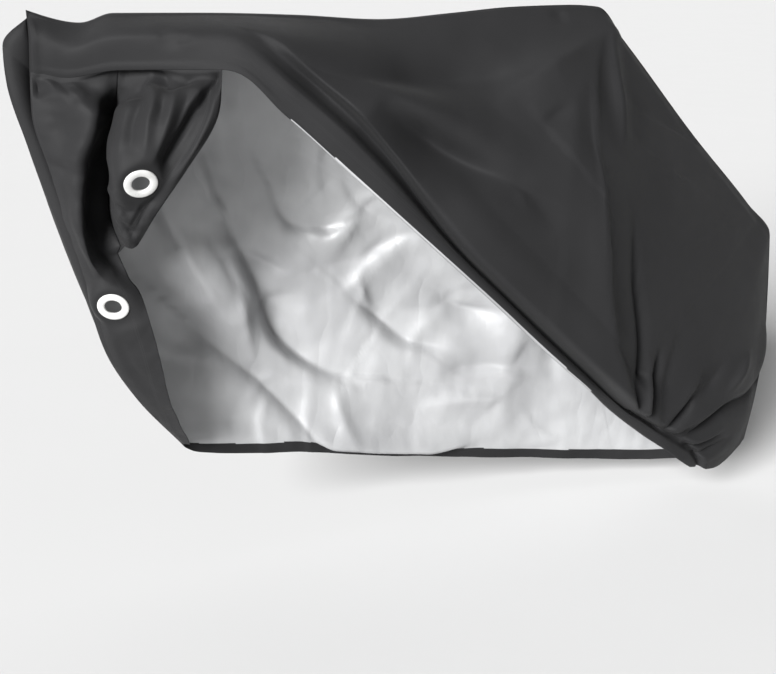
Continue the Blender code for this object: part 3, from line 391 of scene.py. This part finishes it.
def cloth(name, surface, from_hem, from_seam, from_binding_and_painted_shade, eyelet=None, bright_edge=None):
    """One closed sheet: the outer grid, the inner grid one thickness below it, and a rim. A round hole is left
    where an eyelet goes: the squares inside it are dropped and the points around it moved onto its circle."""
    outer = surface.copy()
    rows, cols = outer.shape[:2]
    keep = np.ones((rows - 1, cols - 1), bool)
    if eyelet:
        middle, facing = EYELETS[eyelet]
        facing = unit(facing)
        off = (outer - middle) @ facing
        flat = outer - middle - off[..., None] * facing
        radius = np.linalg.norm(flat, axis=-1)
        near = (radius < EYELET_CUT) & (np.abs(off) < 0.02)
        keep = ~(near[:-1, :-1] | near[1:, :-1] | near[1:, 1:] | near[:-1, 1:])
        touched = np.zeros((rows, cols), bool)
        for part in (slice(None, -1), slice(1, None)):
            for other in (slice(None, -1), slice(1, None)):
                touched[part, other] |= ~keep
        snap = touched & ~near
        outer[snap] = middle + off[snap][:, None] * facing + flat[snap] / radius[snap][:, None] * EYELET_CUT
    inner = outer - normals(surface) * CLOTH
    index = np.arange(rows * cols).reshape(rows, cols)
    corners = np.stack([index[:-1, :-1], index[1:, :-1], index[1:, 1:], index[:-1, 1:]], axis=-1)
    top = corners[keep]
    under = top[:, [0, 3, 2, 1]] + rows * cols
    # walls: every edge of a kept square that no other kept square shares
    edges = np.concatenate([top[:, [a, (a + 1) % 4]] for a in range(4)])
    key = edges.min(axis=1).astype(np.int64) * rows * cols + edges.max(axis=1)
    _, back, count = np.unique(key, return_inverse=True, return_counts=True)
    border = edges[count[back] == 1]
    walls = np.stack([border[:, 1], border[:, 0], border[:, 0] + rows * cols, border[:, 1] + rows * cols], axis=-1)
    points = np.concatenate([outer.reshape(-1, 3), inner.reshape(-1, 3)]) - SADDLE_REST
    faces = np.concatenate([top, under, walls])
    used = np.unique(faces)
    place = np.full(len(points), -1)
    place[used] = np.arange(len(used))
    mesh = bpy.data.meshes.new(name)
    mesh.from_pydata(points[used].tolist(), [], place[faces].tolist())
    mesh.materials.append(OUTER)
    mesh.materials.append(LINING)
    at = under[:, 0] - rows * cols
    # black on the inside: the hem's casing, the seam tape, and on the near panel painted shade across the hem's groove
    binding_and_painted_shade = (from_hem.ravel()[at] < LINING_STOPS) | (from_binding_and_painted_shade.ravel()[at] < BINDING)
    shown = np.zeros(len(top)) if bright_edge is None else bright_edge.ravel()[top[:, 0]]
    slots = np.concatenate([shown, np.where(binding_and_painted_shade, 0, 1), np.zeros(len(walls))]).astype(int)
    mesh.polygons.foreach_set("material_index", slots)
    u = lengths_along(surface, 0).mean(axis=1, keepdims=True) + np.zeros((rows, cols))
    v = lengths_along(surface, 1).mean(axis=0, keepdims=True) + np.zeros((rows, cols))
    loops = np.zeros(len(mesh.loops), int)
    mesh.loops.foreach_get("vertex_index", loops)
    source = used[loops] % (rows * cols)
    for layer, a, b in (("weave", u, v), ("hem", u + v, from_hem), ("seam", u + v, from_seam)):
        uv = mesh.uv_layers.new(name=layer)
        uv.data.foreach_set("uv", np.stack([a.ravel()[source], b.ravel()[source]], axis=-1).ravel())
    mesh.polygons.foreach_set("use_smooth", np.ones(len(mesh.polygons), bool))
    mesh.update()
    return finished(name, mesh)


def finished(name, mesh):
    obj = bpy.data.objects.new(name, mesh)
    bpy.context.scene.collection.objects.link(obj)
    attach(obj, "root")
    return obj


# ---------------------------------------------------------------- finishes


class Nodes:
    """A material's node tree, with one short way to add a node, set its sockets and join it up."""

    def __init__(self, name):
        self.material = bpy.data.materials.new(name)
        self.material.use_nodes = True
        self.tree = self.material.node_tree
        self.shader = self.tree.nodes["Principled BSDF"]

    def add(self, kind, inputs=None, **settings):
        node = self.tree.nodes.new("ShaderNode" + kind)
        for key, value in settings.items():
            setattr(node, key, value)
        for key, value in (inputs or {}).items():
            if isinstance(value, bpy.types.NodeSocket):
                self.tree.links.new(value, node.inputs[key])
            else:
                node.inputs[key].default_value = value
        return node

    def math(self, operation, a, b=0.0, c=0.0):
        return self.add("Math", {0: a, 1: b, 2: c}, operation=operation).outputs[0]

    def put(self, socket, value):
        if isinstance(value, bpy.types.NodeSocket):
            self.tree.links.new(value, self.shader.inputs[socket])
        else:
            self.shader.inputs[socket].default_value = value

    def noise(self, coords, scale, detail=3.0, roughness=0.5):
        return self.add("TexNoise", {"Vector": coords, "Scale": scale, "Detail": detail, "Roughness": roughness}).outputs["Fac"]

    def between(self, value, low, high, to_low, to_high):
        return self.add(
            "MapRange", {0: value, 1: low, 2: high, 3: to_low, 4: to_high}, interpolation_type="SMOOTHSTEP"
        ).outputs[0]


def weave_height(n, pitch):
    """Height of a plain weave on the weave map: two sets of rounded threads that cross over and under."""
    uv = n.add("UVMap", uv_map="weave").outputs[0]
    parts = n.add("SeparateXYZ", {0: uv})
    a = n.math("SINE", n.math("MULTIPLY", parts.outputs[0], 2 * math.pi / pitch))
    b = n.math("SINE", n.math("MULTIPLY", parts.outputs[1], 2 * math.pi / pitch))
    return n.math("MULTIPLY", a, b)


def stitch_height(n, layer, lines, half=0.0007, pitch=0.0045):
    """Height of lines of stitches on a map: a short raised thread for each step along the line."""
    uv = n.add("UVMap", uv_map=layer).outputs[0]
    parts = n.add("SeparateXYZ", {0: uv})
    dash = n.between(n.math("SINE", n.math("MULTIPLY", parts.outputs[0], 2 * math.pi / pitch)), -0.7, 0.2, 0.0, 1.0)
    total = None
    for at in lines:
        off = n.math("ABSOLUTE", n.math("SUBTRACT", parts.outputs[1], at))
        thread = n.math("MULTIPLY", n.between(off, 0.0, half, 1.0, 0.0), dash)
        total = thread if total is None else n.math("MAXIMUM", total, thread)
    return total


def outer_cloth():
    """Black coated cloth: fine weave, soft creasing, stitches at hem and seams, and a dry sheen that is uneven."""
    n = Nodes("outer cloth")
    object_at = n.add("TexCoord").outputs["Object"]
    broad = n.noise(object_at, 2.6, 3.0)
    fine = n.noise(object_at, 34.0, 4.0, 0.6)
    stitches = n.math("MAXIMUM", stitch_height(n, "hem", (0.0275, 0.0315)), stitch_height(n, "seam", (0.0045,)))
    shade = n.add("ValToRGB", {0: broad})
    shade.color_ramp.elements[0].position, shade.color_ramp.elements[0].color = 0.30, (0.0135, 0.0135, 0.0140, 1)
    shade.color_ramp.elements[1].position, shade.color_ramp.elements[1].color = 0.72, (0.0172, 0.0172, 0.0178, 1)
    thread = n.add("Mix", {0: n.math("MULTIPLY", stitches, 0.8), 6: shade.outputs[0], 7: (0.040, 0.040, 0.041, 1)}, data_type="RGBA")
    n.put("Base Color", thread.outputs[2])
    n.put("Roughness", n.between(n.math("ADD", broad, n.math("MULTIPLY", fine, 0.4)), 0.4, 1.0, 0.40, 0.54))
    n.put("Specular IOR Level", 0.05)
    n.put("Sheen Weight", 0.02)
    n.put("Sheen Roughness", 0.45)
    crease = n.add("Bump", {"Height": n.noise(object_at, 22.0, 3.0, 0.55), "Distance": 0.0016, "Strength": 0.35})
    threads = n.add("Bump", {"Height": weave_height(n, 0.0011), "Distance": 0.00012, "Strength": 0.5, "Normal": crease.outputs[0]})
    sewn = n.add("Bump", {"Height": stitches, "Distance": 0.0006, "Strength": 0.8, "Normal": threads.outputs[0]})
    n.put("Normal", sewn.outputs[0])
    return n.material


def silver_lining():
    """Silver coating on the inside: half metallic, softly crumpled, duller where it has been rubbed."""
    n = Nodes("silver lining")
    object_at = n.add("TexCoord").outputs["Object"]
    broad = n.noise(object_at, 4.0, 3.0)
    stretched = n.add("Mapping", {0: object_at, "Rotation": (0.0, 0.9, 0.0), "Scale": (1.0, 1.0, 0.45)}).outputs[0]
    crumple = n.noise(stretched, 24.0, 3.0, 0.55)
    shade = n.add("ValToRGB", {0: broad})
    shade.color_ramp.elements[0].position, shade.color_ramp.elements[0].color = 0.30, (0.245, 0.247, 0.252, 1)
    shade.color_ramp.elements[1].position, shade.color_ramp.elements[1].color = 0.75, (0.355, 0.358, 0.363, 1)
    n.put("Base Color", shade.outputs[0])
    n.put("Metallic", 0.22)
    n.put("Roughness", n.between(n.noise(object_at, 9.0, 4.0), 0.3, 0.75, 0.42, 0.54))
    crisp = n.math("ABSOLUTE", n.math("SUBTRACT", n.noise(stretched, 9.0, 2.0, 0.5), 0.5))
    creased = n.add("Bump", {"Height": crisp, "Distance": 0.020, "Strength": 0.45})
    soft = n.add("Bump", {"Height": crumple, "Distance": 0.004, "Strength": 0.30, "Normal": creased.outputs[0]})
    threads = n.add("Bump", {"Height": weave_height(n, 0.0011), "Distance": 0.00008, "Strength": 0.4, "Normal": soft.outputs[0]})
    sewn = n.add("Bump", {"Height": stitch_height(n, "hem", (0.0275, 0.0315)), "Distance": 0.0005, "Strength": 0.7, "Normal": threads.outputs[0]})
    n.put("Normal", sewn.outputs[0])
    return n.material


def eyelet_plastic():
    """White moulded plastic with a faint grain and small marks."""
    n = Nodes("eyelet plastic")
    object_at = n.add("TexCoord").outputs["Object"]
    marks = n.noise(object_at, 60.0, 4.0, 0.6)
    shade = n.add("ValToRGB", {0: marks})
    shade.color_ramp.elements[0].position, shade.color_ramp.elements[0].color = 0.25, (0.38, 0.38, 0.37, 1)
    shade.color_ramp.elements[1].position, shade.color_ramp.elements[1].color = 0.55, (0.46, 0.46, 0.45, 1)
    n.put("Base Color", shade.outputs[0])
    n.put("Roughness", n.between(marks, 0.3, 0.7, 0.26, 0.38))
    grain = n.add("Bump", {"Height": n.noise(object_at, 900.0, 2.0), "Distance": 0.00008, "Strength": 0.5})
    n.put("Normal", grain.outputs[0])
    return n.material


OUTER, LINING, PLASTIC = outer_cloth(), silver_lining(), eyelet_plastic()


# ---------------------------------------------------------------- pieces


def eyelet(name):
    """Ring turned about its own axis: a rounded front flange, the bore, a neck through the cloth and a washer."""
    neck, front, back = EYELET_CUT - GAP, GAP, -CLOTH - GAP
    turn = np.linspace(0, math.pi / 2, 7)
    crown = 0.5 * (EYELET_BORE + EYELET_FACE)
    over = np.linspace(0, math.pi, 15)
    face = [(crown + (EYELET_FACE - crown) * math.cos(a), front + FLANGE * math.sin(a) ** 0.62) for a in over]
    profile = np.array(
        [(neck, front)] + face
        + [(EYELET_BORE, back - WASHER + 0.0006), (EYELET_BORE + 0.0006, back - WASHER)]
        + [(EYELET_BACK - 0.0006 + 0.0006 * math.sin(a), back - WASHER + 0.0006 - 0.0006 * math.cos(a)) for a in turn]
        + [(EYELET_BACK, back), (neck, back)]
    )
    middle, facing = EYELETS[name]
    facing = unit(facing)
    side = unit(np.cross((0.0, 0.0, 1.0), facing))
    up = np.cross(facing, side)
    angle = np.linspace(0, 2 * math.pi, 96, endpoint=False)
    radial = np.cos(angle)[:, None] * side + np.sin(angle)[:, None] * up
    points = middle + radial[:, None] * profile[None, :, :1] + facing * profile[None, :, 1:] - SADDLE_REST
    count, steps = points.shape[:2]
    index = np.arange(count * steps).reshape(count, steps)
    beyond = np.roll(index, -1, axis=0)
    quads = np.stack([index, beyond, np.roll(beyond, -1, axis=1), np.roll(index, -1, axis=1)], axis=-1).reshape(-1, 4)
    mesh = bpy.data.meshes.new(name + "_ring")
    mesh.from_pydata(points.reshape(-1, 3).tolist(), [], quads.tolist())
    mesh.materials.append(PLASTIC)
    mesh.polygons.foreach_set("use_smooth", np.ones(len(mesh.polygons), bool))
    mesh.set_sharp_from_angle(angle=math.radians(50))
    ring = finished(name + "_ring", mesh)
    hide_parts(name)
    return ring


def steps_to_shares(counts):
    """Shares from 0 to 1 that split each of the even coarse steps into its own count of fine ones."""
    parts = [np.linspace(i, i + 1, count, endpoint=False) for i, count in enumerate(counts)]
    return np.concatenate(parts + [[len(counts)]]) / len(counts)


def distance_to(surface, edge_last, axis):
    """Metres from each point to the last or first row or column, along the grid."""
    along = lengths_along(surface, axis)
    if not edge_last:
        return along
    return np.take(along, [-1], axis=axis) - along


knots = run(SECTIONS[:, 2])
along = stations(SECTIONS[:, 2], SPACING)
valley_at, fold_end = (int(np.abs(along - knots[row]).argmin()) for row in (BRAKES, STEM))
back = np.linspace(0, 1, len(along))[:, None]
nose_knots = run(NOSE.mean(axis=1))

# Far panel, from the ridge down to its hem; its first row is the crease at the far grip, then the front seam.
far_across = steps_to_shares([5] + [12] * 12 + [14])
far = side_panel(SECTIONS[:, 2:], knots, along, FAR_STEPS, far_across)
crease = smooth(np.linspace(0, 1, 3), SECTIONS[0, 2::-1], np.clip(far_across * FAR_STEPS / CREASE_STEPS, 0, 1))
seam_at = np.clip((far_across * FAR_STEPS - CREASE_STEPS) / (FAR_STEPS - CREASE_STEPS), 0, 1)
seam = smooth(run(NOSE[:, 0]), NOSE[:, 0], seam_at)
far = drawn_to(far, "first row", np.where((far_across * FAR_STEPS < CREASE_STEPS)[:, None], crease, seam), 0.02)
down = far_across[None, :]
keep = fade(down / 0.08) * fade(back / 0.06) * fade((1 - back) / 0.06)
height = folds(far[..., 0], far[..., 2], list(FAR_FOLDS) + short_creases((-0.40, 0.62), (0.12, 0.98), 34, 8), 0.0035)
height = height + ripples(far[..., 0], far[..., 2], 9, 0.16, 0.0016, 3) + ripples(far[..., 0], far[..., 2], 12, 0.06, 0.0005, 5)
far = raised(far, height * keep)
# the lining sags down over the hem's casing, in the middle of its length
from_edge = distance_to(far, True, 1)
sag = np.exp(-(((from_edge - 0.052) / 0.020) ** 2)) * fade((far[..., 0] + 0.100) / 0.09) * (1 - fade((far[..., 0] - 0.200) / 0.18))
far = far + sag[..., None] * np.array((0.0, -0.024, -0.034))

# Near panel, turned so that it runs from its hem up to the ridge.
near_across = steps_to_shares([4] + [7] * 15 + [9, 11, 14, 14])
near = side_panel(SECTIONS[:, 2::-1], knots, along, NEAR_STEPS, near_across)
crease = smooth(np.linspace(0, 1, 3), SECTIONS[0, 2::-1], near_across)
near = drawn_to(near, "first row", crease, 0.05)[:, ::-1]
from_edge = lengths_along(near, 1)
from_ridge = distance_to(near, True, 1)
x, z = near[..., 0], near[..., 2]
keep = fade((from_edge - 0.020) / 0.035) * fade(from_ridge / 0.030) * fade(back / 0.012)
height = folds(x, z, NEAR_FOLDS)
height = height + ripples(x, z, 9, 0.20, 0.0010, 11) + ripples(x, z, 12, 0.07, 0.00035, 12)
hem_rows = fade((x[:, :1] + 0.290) / 0.12)
tail_rows = 1 - 0.70 * fade((x[:, :1] - 0.585) / 0.10)
widened = 1 + 1.1 * (1 - fade((x[:, :1] + 0.16) / 0.28))
from_hem = np.minimum(from_edge / widened, HEM_FROM_EDGE[-1])
hem = smooth(HEM_FROM_EDGE, HEM_RISE, from_hem) * hem_rows * tail_rows
hem = np.where(hem > 0, hem * fade((x[:, :1] + 0.06) / 0.20), hem)
roll = 0.0012 * np.sin(math.pi * np.clip(from_edge / 0.016, 0, 1)) * (1 - hem_rows) * fade(back / 0.02)
front = distance_to(near, False, 0)
bead = 0.005 * np.exp(-(((front - 0.007) / 0.006) ** 2)) * fade(front / 0.003) * fade((from_ridge - 0.012) / 0.02)
welt = 0.0012 * (1 - fade((from_ridge - 0.008) / 0.003)) * fade(from_ridge / 0.001) * fade(back / 0.01)
outwards = np.gradient(near, axis=1)
tuck = -0.016 * (1 - fade(from_edge / 0.034)) * fade((x[:, :1] - 0.40) / 0.10) * (1 - fade((x[:, :1] - 0.60) / 0.06))
near = raised(near, height * keep + hem + roll + welt + bead + tuck)
near = near - unit(outwards) * (smooth(HEM_FROM_EDGE, HEM_OVERHANG, from_hem) * hem_rows * tail_rows)[..., None]
fold = near[: fold_end + 1, 0]

# Nose strip, from the fold down and from the front seam to its free side.
nose_down = np.linspace(0, 1, 181)
nose = loft(NOSE, nose_down, nose_knots, np.linspace(0, 1, 61))
nose = drawn_to(nose, "first row", along_line(fold[: valley_at + 1], nose.shape[1] - 1), 0.1)
nose = drawn_to(nose, "first column", smooth(run(NOSE[:, 0]), NOSE[:, 0], nose_down), 0.3)
flap_end = int(np.abs(nose_down - nose_knots[len(FLAP) - 1]).argmin())
x, z = nose[..., 0], nose[..., 2]
across = np.linspace(0, 1, nose.shape[1])[None, :]
keep = fade(nose_down[:, None] / 0.012) * fade(across / 0.06) * np.where(nose_down[:, None] < nose_down[flap_end], fade((1 - across) / 0.1), 1)
height = folds(x, z, NOSE_FOLDS, 0.003) + ripples(x, z, 9, 0.10, 0.0012, 21) + ripples(x, z, 9, 0.035, 0.0004, 22)
under = distance_to(nose, False, 0)
recess = -0.011 * fade(under / 0.006) * (1 - fade((under - 0.010) / 0.035)) * fade(across / 0.15)
nose = flatten(raised(nose, height * keep + recess), "eyelet_nose")

# Near flap, from the fold down and from the valley to its hem.
points = np.concatenate([NOSE[: len(FLAP), 3:], FLAP], axis=1)
knots_down = nose_knots[: len(FLAP)] / nose_knots[len(FLAP) - 1]
flap = loft(points, np.linspace(0, 1, 111), knots_down, np.linspace(0, 1, 121))
flap = drawn_to(flap, "first row", along_line(fold[valley_at:], flap.shape[1] - 1), 0.2)
x, z = flap[..., 0], flap[..., 2]
down = np.linspace(0, 1, flap.shape[0])[:, None]
across = np.linspace(0, 1, flap.shape[1])[None, :]
forward = fade((across - 0.20) / 0.12)
height = folds(x, z, FLAP_FOLDS, 0.0015) * forward + ripples(x, z, 9, 0.07, 0.0010, 31)
height = height + ripples(x, z, 12, 0.022, 0.0012, 32) * forward * fade((0.82 - z) / 0.05)
flap_edge = distance_to(flap, True, 1)
hem = smooth(FLAP_HEM_FROM_EDGE, FLAP_HEM_RISE, np.minimum(flap_edge, FLAP_HEM_FROM_EDGE[-1])) * fade((down - 0.04) / 0.10) * (1 - fade((down - 0.80) / 0.15))
under = distance_to(flap, False, 0)
recess = -0.012 * fade(under / 0.006) * (1 - fade((under - 0.010) / 0.035)) * fade(across / 0.08) * fade(flap_edge / 0.010)
flap = raised(flap, height * fade(down / 0.03) * fade(across / 0.08) * fade(flap_edge / 0.012) + hem + recess)
flap = drawn_to(flap, "first column", along_line(nose[: flap_end + 1, -1], flap.shape[0] - 1), 0.2)
flap = flatten(flap, "eyelet_near")

far_cloth = cloth("far_panel_cloth", far, distance_to(far, True, 1), distance_to(far, False, 1), np.minimum(distance_to(far, False, 1), distance_to(far, False, 0)))
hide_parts("far_panel")
to_fold = np.where(np.arange(len(along))[:, None] <= fold_end, 1.0, 0.0)
turned = np.arange(near.shape[1])[None, :] < 1.2 * fade((0.31 - np.abs(near[:, :1, 0] - 0.10)) / 0.10)
# black seam tape at the ridge and the front, and painted shade: the inside of the near panel is black instead of silver
# across the hem's groove, 25 to 125 mm from the edge, so that the groove reads dark
binding_and_painted_shade = np.minimum(np.minimum(distance_to(near, True, 1), distance_to(near, False, 0)), np.where(np.abs(from_edge - 0.075) < 0.050, 0.0, 1.0))
near_cloth = cloth("near_panel_cloth", near, distance_to(near, False, 1) + to_fold, distance_to(near, True, 1), binding_and_painted_shade, bright_edge=turned)
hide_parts("near_panel")
nose_hem = np.minimum(distance_to(nose, True, 0), np.where(np.arange(len(nose))[:, None] > flap_end, distance_to(nose, True, 1), 1.0))
nose_cloth = cloth("nose_strip_cloth", nose, nose_hem, distance_to(nose, False, 1), np.minimum(distance_to(nose, False, 1), distance_to(nose, False, 0)), "eyelet_nose")
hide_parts("nose_strip")
flap_hem = np.minimum(distance_to(flap, True, 1), distance_to(flap, True, 0))
flap_cloth = cloth("near_flap_cloth", flap, flap_hem, distance_to(flap, False, 1) + 1.0, distance_to(flap, False, 0), "eyelet_near")
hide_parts("near_flap")
rings = [eyelet(name) for name in EYELETS]


# ---------------------------------------------------------------- studio


FLOOR = -1.150
# One very wide soft light far off to the front and left, so that the floor is as pale everywhere.
# A weak one comes back from behind, so that the far side isn't black.
for name, watts, spread, way in (("window", 10.0, 26, (0.76, 0.51, -0.37)), ("wall", 1.2, 120, (-0.35, -0.85, -0.25))):
    lamp = bpy.data.lights.new(name, "SUN")
    lamp.energy, lamp.angle = watts, math.radians(spread)
    light = bpy.data.objects.new(name, lamp)
    light.rotation_euler = Vector(way).to_track_quat("-Z", "Y").to_euler()
    bpy.context.scene.collection.objects.link(light)

world = bpy.data.worlds.new("studio")
world.use_nodes = True
sky = world.node_tree
level = sky.nodes.new("ShaderNodeSeparateXYZ")
sky.links.new(sky.nodes.new("ShaderNodeTexCoord").outputs["Generated"], level.inputs[0])
ramp = sky.nodes.new("ShaderNodeValToRGB")
ramp.color_ramp.elements[0].position, ramp.color_ramp.elements[0].color = 0.05, (0.75, 0.75, 0.75, 1)
ramp.color_ramp.elements[1].position, ramp.color_ramp.elements[1].color = 0.28, (0.12, 0.12, 0.12, 1)
sky.links.new(level.outputs[2], ramp.inputs[0])
sky.links.new(ramp.outputs[0], sky.nodes["Background"].inputs["Color"])
bpy.context.scene.world = world
bpy.context.scene.view_settings.view_transform = "Standard"

floor_mesh = bpy.data.meshes.new("floor")
reach = 60.0
floor_mesh.from_pydata([(-reach, -reach, FLOOR), (reach, -reach, FLOOR), (reach, reach, FLOOR), (-reach, reach, FLOOR)], [], [(0, 1, 2, 3)])
floor = bpy.data.objects.new("floor", floor_mesh)
bpy.context.scene.collection.objects.link(floor)
paint = Nodes("floor paint")
speck = paint.noise(paint.add("TexCoord").outputs["Object"], 3.0, 2.0)
paint.put("Base Color", (0.58, 0.58, 0.58, 1.0))
paint.put("Roughness", paint.between(speck, 0.3, 0.7, 0.72, 0.80))
floor_mesh.materials.append(paint.material)

lens = bpy.data.cameras.new("camera")
lens.sensor_width, lens.lens = 36.0, 56.5
lens.shift_x, lens.shift_y = -0.0532, -0.1151
camera = bpy.data.objects.new("camera", lens)
camera.location = (-1.470, -2.111, 0.095)
camera.rotation_euler = (math.radians(76.70), 0.0, math.radians(-27.49))
bpy.context.scene.collection.objects.link(camera)
bpy.context.scene.camera = camera
